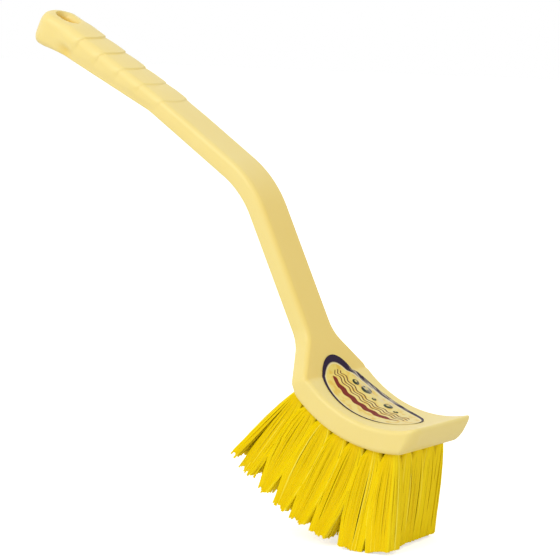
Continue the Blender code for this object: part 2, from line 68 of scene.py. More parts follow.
# Neck and stem
NECK_BEND_RADIUS = 0.0120
NECK_FLANK_ANGLE = math.radians(39.0)
NECK_FILLET_RADIUS = 0.0144
NECK_CORNER_RADIUS = 0.0035
NECK_CORNER_ABOVE_BEND = 0.0008
STEM_WIDTH = 0.0196
STEM_THICKNESS = 0.0089
STEM_EDGE = 0.0024
STEM_BOTTOM_EDGE = 0.0020
STEM_ANGLE = math.radians(65.3)
LOWER_STEM_LENGTH = 0.0764
STEM_BEND_RADIUS = 0.0443
UPPER_STEM_ANGLE = math.radians(33.6)
UPPER_STEM_LENGTH = 0.0444

# Grip with overlapping scales
GRIP_ANGLE = math.radians(27.8)
GRIP_BEND_RADIUS = 0.0600
GRIP_WIDTH = 0.0190
GRIP_THICKNESS = 0.0136
GRIP_EDGE = 0.0027
GRIP_KINK = math.radians(24.0)
GRIP_CROWN = 0.00045
GRIP_LENGTH = 0.0520
SCALE_COUNT = 5
SCALE_PITCH = 0.0130
SCALE_LEAD = 0.0058
SCALE_RISE = 0.0007
FIRST_SCALE_SHARE = 0.50
SCALE_STEP_LENGTH = 0.0005
SCALE_BOW = 0.0023
SCALE_SWEEP = 0.0003
SCALE_SIDE_SHARE = 0.50
SCALE_FADE_SHARE = 0.40
PAD_BULGE = 0.00065
PAD_CREST_SHARE = 0.20
PAD_TOP_SHARE = 0.25
PAD_FOOT_SHARE = 0.72

# Hanging eye, its slot and the slot's rounded mouths
EYE_LENGTH = 0.0245
EYE_WIDTH = 0.0208
EYE_THICKNESS = 0.0160
EYE_EDGE = 0.0042
EYE_CROWN = 0.0006
EYE_BOTTOM_EDGE = 0.0050
EYE_END_ANGLE = math.radians(13.4)
EYE_LEAN = 0.0035
EYE_LEAN_LENGTH = 0.0140
EYE_SLOT_LENGTH = 0.0120
EYE_SLOT_WIDTH = 0.0068
EYE_SLOT_FROM_END = 0.0139
EYE_MOUTH_ROUNDING = 0.0036
EYE_MOUTH_SKEW = 0.05
EYE_MOUTH_ROUNDNESS = 0.85
EYE_MOUTH_CREASE = math.radians(72.0)

# Underside widths of the handle as shares of the top's, and where the wall draws in
STEM_UNDER_SHARE = 0.96
GRIP_UNDER_SHARE = 0.88
EYE_UNDER_SHARE = 0.98
WALL_TURN_SHARE = 0.42

# Hollow in the side wall by the eye: it deepens between two shares of the way down
DIMPLE_DEPTH = 0.0015
DIMPLE_LENGTH = 0.0038
DIMPLE_SHARES = (0.35, 0.85)

# How much painted shade, a deeper and more saturated yellow, shows at each place on the moulding
DIMPLE_PAINTED_SHADE = 0.42
TOP_PAINTED_SHADE = 0.34
SLOT_PAINTED_SHADE = 0.70
SLOT_SHADE_DEPTHS = (0.0015, 0.0037)
END_PAINTED_SHADE = 0.10

# Bristle field: rows along the head, columns across it
ROW_COUNT = 7
COLUMN_COUNT = 5
FIRST_ROW_ANGLE = math.radians(0.2)
ROW_ANGLE = math.radians(7.85)
COLUMN_PITCH = 0.0089
HOLE_RADIUS = 0.0022
HOLE_DEPTH = 0.0056
HOLE_CHAMFER = 0.0003
HOLE_SIDES = 24

# Tips of the bristles, seen from the head axis
TIP_RADIUS = 0.1092
FRONT_TRIM = 0.0030
FIRST_TIP_ANGLE = math.radians(4.6)
TIP_ROW_ANGLE = math.radians(6.8)
FAR_FRONT_SKEW = math.radians(1.7)
SHAKE_OUT = math.radians(0.3)
SIDE_SPREAD = 0.0052
LONG_SPREAD_SHARE = 0.54
SPLAY_OUT = 0.0012
WIDEST_TIP = 0.0228
TIP_SQUARENESS = 0.8

# Tip angles of the locks in each tuft of the near column, in degrees
NEAR_LOCKS = (((-0.3, 5.6),), ((7.0, 13.0),), ((17.0, 21.2),), ((23.0, 27.2),),
              ((28.9, 32.4),), ((35.0, 37.6),), ((41.0, 44.2), (46.6, 48.2)))

# Packing of the filaments in a hole
FILL_RADIUS = 0.0020
RING_STRANDS = (88, 56)
RING_REACHES = (1.0, 0.86)
FILLING_STRANDS = 66
FILLING_REACH = 0.76
HIDDEN_STRANDS = 170
GOLDEN_TURN = math.radians(137.508)

# Run of a filament from its hole to its tip
STRAND_ROOT_THICKNESS = 0.00034
STRAND_TIP_THICKNESS = 0.00078
CUT_END_HEIGHT = STRAND_TIP_THICKNESS / 3
STRAND_RINGS = 7
FAN_START_DEPTH = 0.0004
STUB_LENGTH = 0.0026
FAN_STEP_POWER = 1.25
SHOULDER_SHARE = 0.06
SHOULDER_SWELL = 1.05
KNEE_SHARE = 0.50
LONG_SWELL = 0.0036
OUTER_SWELL = 0.0008
SIDE_SWELL = 0.0034

# How the filaments differ by chance: shares of a row, of a lock or of a size, and lengths
TUFT_SEED = 1000
SPLIT_GAP_RANGE = (0.02, 0.10)
SPLIT_SHIFT_RANGE = (-0.2, 0.2)
TEETH_RANGE = (1.4, 2.4)
TOOTH_DEPTH = 0.0028
LOCK_SCATTER = 0.02
SIDE_SCATTER = 0.06
STRAY_SHARE = 0.02
STRAY_ANGLE = TIP_ROW_ANGLE / 3
STRAY_SIDE = COLUMN_PITCH / 4
FRONT_RAGGEDNESS = 0.0003
REAR_RAGGEDNESS = 0.0016
SWELL_RANGE = (0.9, 1.25)
BOW_SCATTER = 0.0004
THICKNESS_RANGE = (0.85, 1.15)
TONE_SPREAD = 0.5
# Painted highlight: tone of the tufts' outside strands, where it starts, and the share of pale
# strands
EDGE_HIGHLIGHT_TONE = 0.9
EDGE_HIGHLIGHT_FROM = 0.3
HIGHLIGHT_STRAND_SHARE = 0.055

# Label
LABEL_LENGTH = 0.0614
LABEL_WIDTH = 0.0331
LABEL_THICKNESS = 0.00022
LABEL_LIFT = 0.00008
LABEL_FROM_FRONT = 0.0150
LABEL_POINTS = 128
LABEL_RINGS = 26

# Patterns in the moulding's plastic, and the heights between which it turns paler
CLOUD_SIZE = 0.015
SKIN_GRAIN = 0.0007
PALER_FROM = 0.10
PALER_TO = 0.19

# The label's print, in millimetres from its middle (X to the front, Y to the far side);
# the softness of an oval's edge is a share of its size
FRAME_MIDDLE = (1.6, -1.1)
FRAME_RADII = (28.9, 14.8)
LINE_RADII = (28.2, 14.1)
OVAL_SOFTNESS = 0.01
FADE_FROM = -20.0
FADE_TO = 25.0
PATCH_SIZE = 4.0
WATER_RADII = (24.0, 9.5)
WAVE_LENGTH = 6.5
WAVE_SIDES = (2.6, 0.4, -1.8)
WAVE_HEIGHT = 0.7
WAVE_HALF_WIDTH = 0.40
RIBBON_SIDE = -6.2
RIBBON_HEIGHT = 0.5
RIBBON_HALF_WIDTH = 1.9
STRIPE_SOFTNESS = 0.10
BUBBLES = (((-13.4, 6.4), 1.9), ((-7.4, 8.3), 2.8), ((-0.6, 6.2), 1.2), ((6.8, 8.0), 2.3),
           ((12.8, 5.9), 1.3))
BUBBLE_EDGE = 0.12
SHINE_SHIFT = 0.3
SHINE_SHRINK = 2.6
SHINE_SOFTNESS = 0.3
# Painted film glints along the far side, drawn as pale scuffs: where they lie and their size
GLINT_SCUFF_MIDDLE = (-6.0, 14.0)
GLINT_SCUFF_RADII = (20.0, 7.0)
GLINT_SCUFF_SOFTNESS = 0.2
GLINT_SCUFF_SIZE = (6.25, 1.0)
BLISTER_SIZE = 4.0

# Fineness of the moulding's mesh, and its cuts
RING_STEP = 0.0008
CLOSEST_RINGS = RING_STEP / 12
ROUNDING_STEPS = 9
END_RING_ANGLES = (78.0, 81.0, 84.0, 86.5, 88.5, 89.6)
TOP_STEPS = 8
EDGE_STEPS = 10
WALL_STEPS = 9
UNDER_EDGE_STEPS = 7
UNDER_STEPS = 7
SLOT_END_STEPS = 16
MOUTH_STEPS = 8
PROFILE_STEPS = 20
UNDERSIDE_HALVINGS = 40
CUT_OVERRUN = 0.0030
WELD_DISTANCE = 0.000002
SHARP_ANGLE = math.radians(48.0)


# The mid line of the moulding, from the tip of the head to the end of the handle

def mid_line_pieces():
    """Length, start slope and turn per metre of each arc and straight."""
    turns = [
        (HEAD_FRONT_ANGLE, HEAD_ARC_END_ANGLE, HEAD_MIDDLE_RADIUS),
        (HEAD_ARC_END_ANGLE, STEM_ANGLE, NECK_BEND_RADIUS),
        (STEM_ANGLE, STEM_ANGLE, LOWER_STEM_LENGTH),
        (STEM_ANGLE, UPPER_STEM_ANGLE, STEM_BEND_RADIUS),
        (UPPER_STEM_ANGLE, UPPER_STEM_ANGLE, UPPER_STEM_LENGTH),
        (UPPER_STEM_ANGLE, GRIP_ANGLE, GRIP_BEND_RADIUS),
        (GRIP_ANGLE, GRIP_ANGLE, GRIP_LENGTH),
        (GRIP_ANGLE, EYE_END_ANGLE, EYE_LENGTH / abs(GRIP_ANGLE - EYE_END_ANGLE)),
    ]
    pieces = []
    for start, end, size in turns:
        if start == end:
            pieces.append((size, start, 0.0))
        else:
            length = abs(end - start) * size
            pieces.append((length, start, (end - start) / length))
    return pieces


# The pieces, and the distances at which they meet
PIECES = mid_line_pieces()
(FRONT_AT, ARC_END_AT, NECK_AT, BEND_AT, UPPER_AT, GRIP_BEND_AT, GRIP_AT, EYE_AT,
 END_AT) = accumulate((length for length, _, _ in PIECES), initial=0.0)
SCALES_AT = GRIP_AT - SCALE_LEAD
SLOT_AT = END_AT - EYE_SLOT_FROM_END
SLOT_REACH = (EYE_SLOT_LENGTH - EYE_SLOT_WIDTH) / 2
EYE_ROUND_AT = END_AT - EYE_WIDTH / 2


def along(slope):
    """Direction of the mid line at a slope, towards the handle's end."""
    return Vector((-math.cos(slope), 0.0, math.sin(slope)))


def upward(slope):
    """Direction square to the mid line, towards the top face."""
    return Vector((math.sin(slope), 0.0, math.cos(slope)))


def mid_line(distance):
    """Point and slope of the mid line, measured from the head axis. The first and the last
    piece run on past their ends."""
    point = -HEAD_MIDDLE_RADIUS * upward(HEAD_FRONT_ANGLE)
    for index, (length, slope, turn) in enumerate(PIECES):
        last = index == len(PIECES) - 1
        part = distance if last or distance < length else length
        end_slope = slope + turn * part
        if turn:
            point = point - (upward(end_slope) - upward(slope)) / turn
        else:
            point = point + along(slope) * part
        distance -= part
        if distance <= 0.0:
            break
    return point, end_slope


def sideways(side):
    """A step across the brush, to the far side."""
    return Vector((0.0, side, 0.0))


def blend(value, start, end):
    """Rise smoothly from 0 at start to 1 at end."""
    share = min(1.0, max(0.0, (value - start) / (end - start)))
    return share * share * (3.0 - 2.0 * share)


def ramp(value, table):
    """Read a list of (distance, size) with straight runs between."""
    if value <= table[0][0]:
        return table[0][1]
    for (low, size_low), (high, size_high) in zip(table, table[1:]):
        if value <= high:
            share = (value - low) / (high - low)
            return size_low + (size_high - size_low) * share
    return table[-1][1]


# Sizes of the moulding along its mid line

def half_width(distance):
    """Half the width of the top: rounded tip, neck flanks, stem, grip and eye."""
    head = HEAD_WIDTH / 2
    stem = STEM_WIDTH / 2
    if distance < FRONT_CORNER_RADIUS:
        back = FRONT_CORNER_RADIUS - max(0.0, distance)
        return head - FRONT_CORNER_RADIUS + math.sqrt(FRONT_CORNER_RADIUS ** 2 - back ** 2)
    corner_at = NECK_AT + NECK_CORNER_ABOVE_BEND
    slope = math.tan(NECK_FLANK_ANGLE)
    fillet_top = stem + NECK_FILLET_RADIUS * (1.0 - math.cos(NECK_FLANK_ANGLE))
    fillet_at = corner_at + (head - fillet_top) / slope
    fillet_end = fillet_at + NECK_FILLET_RADIUS * math.sin(NECK_FLANK_ANGLE)
    setback = NECK_CORNER_RADIUS * math.tan(NECK_FLANK_ANGLE / 2)
    flank_at = corner_at - setback + NECK_CORNER_RADIUS * math.sin(NECK_FLANK_ANGLE)
    if distance < corner_at - setback:
        return head
    if distance < flank_at:
        run = distance - corner_at + setback
        return head - NECK_CORNER_RADIUS + math.sqrt(NECK_CORNER_RADIUS ** 2 - run ** 2)
    if distance < fillet_at:
        return head - (distance - corner_at) * slope
    if distance < fillet_end:
        run = fillet_end - distance
        return stem + NECK_FILLET_RADIUS - math.sqrt(NECK_FILLET_RADIUS ** 2 - run ** 2)
    if distance < EYE_ROUND_AT:
        return ramp(distance, [(GRIP_BEND_AT, stem), (EYE_AT, GRIP_WIDTH / 2),
                               (EYE_ROUND_AT, EYE_WIDTH / 2)])
    run = min(distance, END_AT) - EYE_ROUND_AT
    return math.sqrt(max(0.0, (EYE_WIDTH / 2) ** 2 - run ** 2))


def thickness(distance):
    """Depth of the moulding square to its mid line."""
    if ARC_END_AT < distance < NECK_AT:
        neck = blend(distance, ARC_END_AT, NECK_AT)
        return HEAD_THICKNESS + (STEM_THICKNESS - HEAD_THICKNESS) * neck
    return ramp(distance, [(ARC_END_AT, HEAD_THICKNESS), (NECK_AT, STEM_THICKNESS),
                           (GRIP_BEND_AT, STEM_THICKNESS), (EYE_AT, GRIP_THICKNESS),
                           (EYE_ROUND_AT, EYE_THICKNESS)])


def edge_radii(distance):
    """Rounding of the top and bottom edges, and the underside's width share."""
    neck_top = NECK_AT + NECK_CORNER_ABOVE_BEND + HEAD_WIDTH / 2
    top = ramp(distance, [(NECK_AT, HEAD_TOP_EDGE), (neck_top, STEM_EDGE),
                          (GRIP_BEND_AT, STEM_EDGE), (GRIP_AT, GRIP_EDGE), (EYE_AT, EYE_EDGE)])
    under = ramp(distance, [(NECK_AT, HEAD_BOTTOM_EDGE), (neck_top, STEM_BOTTOM_EDGE),
                            (EYE_AT, STEM_BOTTOM_EDGE), (EYE_ROUND_AT, EYE_BOTTOM_EDGE)])
    share = ramp(distance, [(NECK_AT, 1.0), (neck_top, STEM_UNDER_SHARE),
                            (GRIP_BEND_AT, STEM_UNDER_SHARE), (GRIP_AT, GRIP_UNDER_SHARE),
                            (EYE_AT, GRIP_UNDER_SHARE), (EYE_ROUND_AT, EYE_UNDER_SHARE)])
    return top, under, share


def edge_inset(radius, depth):
    """How far a rounded end edge draws in at a depth from the end."""
    if depth >= radius:
        return 0.0
    return radius - math.sqrt(max(0.0, radius ** 2 - (radius - depth) ** 2))


def top_crown(distance):
    """Crown of the top face, and the turn at its edge: none on the stem."""
    crown = ramp(distance, [(SCALES_AT - SCALE_PITCH, 0.0), (SCALES_AT, GRIP_CROWN),
                            (EYE_AT, GRIP_CROWN), (EYE_ROUND_AT, EYE_CROWN)])
    kink = ramp(distance, [(SCALES_AT - SCALE_PITCH, 0.0), (SCALES_AT, GRIP_KINK)])
    return crown, kink


def dimple_share(distance):
    """Share of the hollow where the grip meets the thicker eye: 1 in its middle."""
    reach = (distance - EYE_AT) / DIMPLE_LENGTH
    return math.exp(-reach * reach)


def dimple(distance, down):
    """Depth of the hollow, low in the side wall."""
    return DIMPLE_DEPTH * dimple_share(distance) * blend(down, *DIMPLE_SHARES)


def section(distance):
    """Right half of a cross-section: side, height, outward side, lift, scale and pad share."""
    side = half_width(distance)
    half = thickness(distance) / 2
    top_edge, under_edge, share = edge_radii(distance)
    from_end = END_AT - distance
    top = half - edge_inset(FRONT_TOP_EDGE, distance) - edge_inset(EYE_EDGE, from_end)
    under = half - edge_inset(FRONT_BOTTOM_EDGE, distance)
    under -= edge_inset(EYE_BOTTOM_EDGE, from_end)
    top_edge = min(top_edge, side, top)
    under_side = side * share
    under_edge = min(under_edge, under_side, under)
    points = []
    crown, kink = top_crown(distance)
    crown = min(crown, (top - top_edge) / 2)
    flat = side - top_edge * (1.0 - math.sin(kink))
    wall_top = top - crown - top_edge * math.cos(kink)
    for step in range(TOP_STEPS):
        part = step / TOP_STEPS
        points.append((flat * part, top - crown * part ** 2, 0.0, 1.0, 1.0, 0.0))
    for step in range(EDGE_STEPS + 1):
        angle = (math.radians(90.0) - kink) * (1.0 - step / EDGE_STEPS)
        lift = math.sin(angle) / math.cos(kink)
        points.append((side - top_edge + top_edge * math.cos(angle),
                       wall_top + top_edge * math.sin(angle),
                       math.cos(angle), lift, 1.0, 1.0 - lift))
    wall_foot = -under + under_edge
    for step in range(1, WALL_STEPS):
        down = step / WALL_STEPS
        draw = blend(down, WALL_TURN_SHARE, 2.0 - WALL_TURN_SHARE)
        draw /= blend(1.0, WALL_TURN_SHARE, 2.0 - WALL_TURN_SHARE)
        fade = 1.0 - blend(down, 0.0, SCALE_FADE_SHARE)
        pad = 1.0 - blend(down, PAD_TOP_SHARE, PAD_FOOT_SHARE)
        points.append((side + (under_side - side) * draw - dimple(distance, down),
                       wall_top + (wall_foot - wall_top) * down, 1.0, 0.0, fade, pad))
    for step in range(UNDER_EDGE_STEPS + 1):
        angle = -math.radians(90.0) * step / UNDER_EDGE_STEPS
        hollow = dimple(distance, 1.0) * math.cos(angle)
        points.append((under_side - under_edge + under_edge * math.cos(angle) - hollow,
                       -under + under_edge + under_edge * math.sin(angle),
                       0.0, 0.0, 0.0, 0.0))
    for step in range(1, UNDER_STEPS + 1):
        points.append(((under_side - under_edge) * (1.0 - step / UNDER_STEPS), -under,
                       0.0, 0.0, 0.0, 0.0))
    return points


# Grip scales

def scale_place(distance):
    """Count of the scale at a distance, and the share of its length."""
    place = (distance - SCALES_AT) / SCALE_PITCH
    return math.floor(place), place - math.floor(place)


def scale_size(count):
    """Size of a scale as a share of the last one's, and nothing outside the grip."""
    if count < 0 or count >= SCALE_COUNT:
        return 0.0
    return ramp(count, [(0, FIRST_SCALE_SHARE), (SCALE_COUNT - 1, 1.0)])


def scale_rise(distance):
    """Height of the scales: each lip stands up facing the head, then slopes away."""
    count, share = scale_place(distance)
    step = SCALE_STEP_LENGTH / SCALE_PITCH
    return SCALE_RISE * scale_size(count) * (1.0 - share ** 3) * min(1.0, share / step)


def pad_bulge(distance):
    """How far the rounded pad of each scale stands out on the side wall."""
    count, share = scale_place(distance)
    crest = blend(share, 0.0, PAD_CREST_SHARE) * (1.0 - blend(share, PAD_CREST_SHARE, 1.0))
    return PAD_BULGE * scale_size(count) * crest


def scale_gate(distance):
    """Share of the bow of the rings: nothing on the stem and at the very end."""
    before = blend(distance, SCALES_AT - SCALE_PITCH, SCALES_AT)
    return before * (1.0 - blend(distance, EYE_AT, EYE_AT + SCALE_PITCH))


def painted_shade_share(distance, lift, low):
    """How much painted shade shows: on top of the neck and lower stem, which face away from the
    light, low in the hollow by the eye, and on the end wall."""
    shade_amount = ramp(distance, [(ARC_END_AT, 0.0), (NECK_AT, TOP_PAINTED_SHADE), (BEND_AT, TOP_PAINTED_SHADE),
                             (UPPER_AT, 0.0)])
    shade_amount = shade_amount * lift + DIMPLE_PAINTED_SHADE * low * dimple_share(distance)
    return shade_amount + END_PAINTED_SHADE * blend(distance, END_AT - EYE_EDGE, END_AT)


def ring_stations():
    """Distances of all cross-sections along the mid line: closer on roundings, at the foot
    of each scale and at the very end."""
    rounding = [math.radians(90.0) * step / ROUNDING_STEPS for step in range(ROUNDING_STEPS + 1)]
    places = [edge * (1.0 - math.cos(angle)) for angle in rounding
              for edge in (FRONT_TOP_EDGE, FRONT_BOTTOM_EDGE, FRONT_CORNER_RADIUS)]
    places += [END_AT - EYE_WIDTH / 2 * (1.0 - math.sin(angle)) for angle in rounding]
    places += [END_AT - EYE_EDGE * (1.0 - math.cos(angle)) for angle in rounding]
    last = [END_AT - EYE_WIDTH / 2 * (1.0 - math.sin(math.radians(angle)))
            for angle in END_RING_ANGLES]
    steps = round(END_AT / RING_STEP)
    places += [END_AT * step / steps for step in range(steps)]
    crease = []
    for count in range(SCALE_COUNT):
        foot = SCALES_AT + count * SCALE_PITCH
        crease += [foot - SCALE_STEP_LENGTH, foot, foot + SCALE_STEP_LENGTH / 2,
                   foot + SCALE_STEP_LENGTH, foot + 2 * SCALE_STEP_LENGTH]
    kept = []
    for place in sorted(places):
        clear = all(abs(place - other) > SCALE_STEP_LENGTH / 2 for other in crease)
        clear = clear and place < last[0] - CLOSEST_RINGS
        if clear and (not kept or place - kept[-1] > CLOSEST_RINGS):
            kept.append(place)
    return sorted(kept + crease + last)


def front_lean(distance, height):
    """Extra distance from the tip for low points, so that the front wall leans."""
    share = 1.0 - blend(distance, 0.0, FRONT_LEAN_LENGTH)
    return FRONT_LEAN * share * (HEAD_THICKNESS / 2 - height) / HEAD_THICKNESS


def end_lean(distance, height):
    """How far high points are drawn back from the end, so that the end wall leans."""
    share = blend(distance, END_AT - EYE_LEAN_LENGTH, END_AT)
    return EYE_LEAN * share * (height + EYE_THICKNESS / 2) / EYE_THICKNESS


def ring_points(distance):
    """Points of one closed cross-section, each with its share of the painted shade."""
    rise = scale_rise(distance)
    gate = scale_gate(distance)
    half = half_width(distance)
    bulge = pad_bulge(distance)
    right = []
    for side, height, out_side, lift, fade, pad in section(distance):
        shift = front_lean(distance, height) - end_lean(distance, height)
        shift -= SCALE_BOW * gate * lift * (1.0 - (side / half) ** 2)
        shift += SCALE_SWEEP * gate * (1.0 - lift)
        point, slope = mid_line(distance + shift)
        place = point + upward(slope) * (height + rise * lift)
        side += rise * out_side * SCALE_SIDE_SHARE * fade + bulge * pad
        # Painted shade at this point: on the top faces of neck and stem, low in the dimple, at
        # the end
        low = blend(-height, 0.0, EYE_THICKNESS / 4)
        right.append((place, side, painted_shade_share(distance, lift, low)))
    ring = [(place + sideways(side), shade_tint) for place, side, shade_tint in right]
    ring += [(place - sideways(side), shade_tint) for place, side, shade_tint in right[-2:0:-1]]
    return ring


# Meshes

def add_tube(body, rings):
    """Closed tube through rings of equal counts, with flat end caps."""
    loops = [[body.verts.new(point) for point in ring] for ring in rings]
    for low, high in zip(loops, loops[1:]):
        for index in range(len(low)):
            after = (index + 1) % len(low)
            body.faces.new((low[index], low[after], high[after], high[index]))
    body.faces.new(list(reversed(loops[0])))
    body.faces.new(loops[-1])


def loft(rings):
    """A body of one tube."""
    body = bmesh.new()
    add_tube(body, rings)
    return body


def mesh_object(name, body, material):
    """Put a bmesh into the scene as an object of one material."""
    mesh = bpy.data.meshes.new(name)
    body.to_mesh(mesh)
    body.free()
    mesh.materials.append(material)
    item = bpy.data.objects.new(name, mesh)
    bpy.context.scene.collection.objects.link(item)
    return item


def make_piece(name, body, material):
    """Turn a bmesh about the head axis into a smooth-shaded object in its place."""
    bmesh.ops.recalc_face_normals(body, faces=body.faces)
    bmesh.ops.translate(body, vec=HEAD_AXIS, verts=body.verts)
    piece = mesh_object(name, body, material)
    piece.data.shade_smooth()
    piece.data.set_sharp_from_angle(angle=SHARP_ANGLE)
    return piece


def store(piece, name, kind, values):
    """Keep one value for each point of a mesh, for its material to read."""
    attribute = piece.data.attributes.new(name, kind, "POINT")
    key = "vector" if kind == "FLOAT_VECTOR" else "value"
    attribute.data.foreach_set(key, values)


def cut_away(piece, cutters):
    """Cut the cutters out of a piece for good, and clear them away."""
    for cutter in cutters:
        modifier = piece.modifiers.new(cutter.name, "BOOLEAN")
        modifier.operation = "DIFFERENCE"
        modifier.solver = "EXACT"
        modifier.object = cutter
    shaped = piece.evaluated_get(bpy.context.evaluated_depsgraph_get())
    mesh = bpy.data.meshes.new_from_object(shaped)
    body = bmesh.new()
    body.from_mesh(mesh)
    bmesh.ops.remove_doubles(body, verts=body.verts, dist=WELD_DISTANCE)
    bmesh.ops.dissolve_degenerate(body, edges=body.edges, dist=WELD_DISTANCE)
    body.to_mesh(mesh)
    body.free()
    piece.modifiers.clear()
    piece.data = mesh
    for cutter in cutters:
        bpy.data.objects.remove(cutter, do_unlink=True)


# Moulded handle and head

def slot_outline(grow):
    """Outline of the eye's slot, widened all round by grow."""
    radius = EYE_SLOT_WIDTH / 2 + grow
    reach = max(0.0, SLOT_REACH - EYE_MOUTH_ROUNDNESS * grow)
    points = []
    for end in (1.0, -1.0):
        for step in range(SLOT_END_STEPS + 1):
            angle = math.radians(180.0) * (step / SLOT_END_STEPS - 0.5)
            points.append((end * (reach + radius * math.cos(angle)),
                           end * radius * math.sin(angle)))
    return points


def face_profile(middle, slope, sign):
    """Run and height of the top or bottom face, seen from the middle of the slot."""
    profile = []
    for step in range(-PROFILE_STEPS, PROFILE_STEPS + 1):
        distance = SLOT_AT + step * RING_STEP
        point, local = mid_line(distance)
        offset = point + upward(local) * thickness(distance) / 2 * sign - middle
        profile.append((offset.dot(along(slope)), offset.dot(upward(slope))))
    return profile


def slot_cutter(material):
    """Cutter for the hanging slot, with mouths rounded evenly along both faces."""
    middle, slope = mid_line(SLOT_AT)
    levels = []
    for step in range(MOUTH_STEPS + 1):
        angle = math.radians(90.0) * step / MOUTH_STEPS
        drop = EYE_MOUTH_ROUNDING * (math.sin(EYE_MOUTH_CREASE) - math.sin(angle))
        levels.append((EYE_MOUTH_ROUNDING * (1.0 - math.cos(angle)), drop))
    levels.append((EYE_MOUTH_ROUNDING, -CUT_OVERRUN))
    rings = []
    for sign, steps in ((-1.0, reversed(levels)), (1.0, levels)):
        profile = face_profile(middle, slope, sign)
        for grow, drop in steps:
            back = EYE_MOUTH_SKEW * grow
            rings.append([middle + along(slope) * (run - back)
                          + upward(slope) * (ramp(run, profile) - sign * drop)
                          + sideways(side) for run, side in slot_outline(grow)])
    return make_piece("cutter_eye_slot", loft(rings), material)


def underside_radius(angle):
    """Distance from the head axis to the underside along a radius of the head, found by
    halving the run that holds it."""
    low, high = FRONT_AT, NECK_AT + HEAD_THICKNESS
    for _ in range(UNDERSIDE_HALVINGS):
        middle = (low + high) / 2
        point, slope = mid_line(middle)
        point -= upward(slope) * thickness(middle) / 2
        if math.atan2(-point.x, -point.z) < angle:
            low = middle
        else:
            high = middle
    return point.length


def tuft_place(row, column):
    """Angle, side position and root radius of a tuft."""
    angle = FIRST_ROW_ANGLE + ROW_ANGLE * row
    side = COLUMN_PITCH * (column - (COLUMN_COUNT - 1) / 2)
    return angle, side, underside_radius(angle)


def hole_cutter(material):
    """Cutter for the bristle holes, each with a small chamfer round its mouth."""
    body = bmesh.new()
    levels = [(HOLE_RADIUS, HOLE_DEPTH), (HOLE_RADIUS, HOLE_CHAMFER),
              (HOLE_RADIUS + 2 * HOLE_CHAMFER, -HOLE_CHAMFER),
              (HOLE_RADIUS + 2 * HOLE_CHAMFER, -CUT_OVERRUN)]
    turns = [2 * math.pi * index / HOLE_SIDES for index in range(HOLE_SIDES)]
    for row in range(ROW_COUNT):
        for column in range(COLUMN_COUNT):
            angle, side, root_radius = tuft_place(row, column)
            place = (Matrix.Translation(-root_radius * upward(angle) + sideways(side))
                     @ Matrix.Rotation(angle, 4, "Y"))
            add_tube(body, [[place @ Vector((radius * math.cos(turn), radius * math.sin(turn),
                                             depth)) for turn in turns]
                            for radius, depth in levels])
    return make_piece("cutter_tuft_holes", body, material)


def slot_painted_shade(offset, slope):
    """Painted shade at an offset from the middle of the slot: full far inside it."""
    run = max(0.0, abs(offset.dot(along(slope))) - SLOT_REACH)
    outside = math.hypot(run, offset.y) - EYE_SLOT_WIDTH / 2
    depth = EYE_THICKNESS / 2 - abs(offset.dot(upward(slope)))
    deep_shaded = blend(depth, *SLOT_SHADE_DEPTHS)
    return SLOT_PAINTED_SHADE * deep_shaded * (1.0 - blend(outside, 0.0, EYE_MOUTH_ROUNDING))


def make_handle(material):
    """The moulding, its slot and holes, and where its painted shade gathers."""
    rings = [ring_points(distance) for distance in ring_stations()]
    handle = make_piece("moulded_handle", loft([[point for point, _ in ring] for ring in rings]),
                        material)
    shade_tints = [shade_tint for ring in rings for _, shade_tint in ring]
    tree = kdtree.KDTree(len(shade_tints))
    for index, point in enumerate(handle.data.vertices):
        tree.insert(point.co, index)
    tree.balance()
    cut_away(handle, [slot_cutter(material), hole_cutter(material)])
    middle, slope = mid_line(SLOT_AT)
    # Painted shade for each point: read from the rings, and deeper inside the slot
    values = []
    for point in handle.data.vertices:
        _, index, gap = tree.find(point.co)
        shade_tint = shade_tints[index] if gap < RING_STEP else 0.0
        offset = point.co - HEAD_AXIS - middle
        if offset.length < EYE_LENGTH / 2:
            shade_tint = max(shade_tint, slot_painted_shade(offset, slope))
        values.append(shade_tint)
    store(handle, "painted_shade", "FLOAT", values)
    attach(handle, "root")
    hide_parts("handle_and_head")
    return handle


# Bristles

def tip_radius(angle):
    """Distance of the bristle tips from the head axis, a little less at the very front."""
    front = FIRST_TIP_ANGLE - TIP_ROW_ANGLE / 2
    return TIP_RADIUS - FRONT_TRIM * (1.0 - blend(angle, front, front + TIP_ROW_ANGLE))


def tuft_locks(row, column, chance):
    """Locks of a tuft: where the tips of each start and end, and its share of the strands.
    Those of the near column are as in the photograph."""
    middle = FIRST_TIP_ANGLE + TIP_ROW_ANGLE * row
    reach = TIP_ROW_ANGLE * LONG_SPREAD_SHARE
    low, high = middle - reach, middle + reach
    if row == 0:
        low += FAR_FRONT_SKEW * column / (COLUMN_COUNT - 1)
    spans = [(low, high)]
    if column == 0:
        spans = [(math.radians(low), math.radians(high)) for low, high in NEAR_LOCKS[row]]
    elif row > 1:
        gap = TIP_ROW_ANGLE * chance.uniform(*SPLIT_GAP_RANGE)
        split = middle + TIP_ROW_ANGLE * chance.uniform(*SPLIT_SHIFT_RANGE)
        spans = [(low, split - gap), (split + gap, high)]
    total = sum(high - low for low, high in spans)
    return [(low, high, (high - low) / total) for low, high in spans]


def pick_lock(locks, spot):
    """The lock of the strand at a spot of the tuft, and its spot in that lock."""
    low, high, share = locks[0]
    if len(locks) > 1 and spot > share:
        spot = (spot - share) / (1.0 - share)
        low, high, _ = locks[1]
    else:
        spot = spot / share
    return low, high, min(1.0, max(0.0, spot))


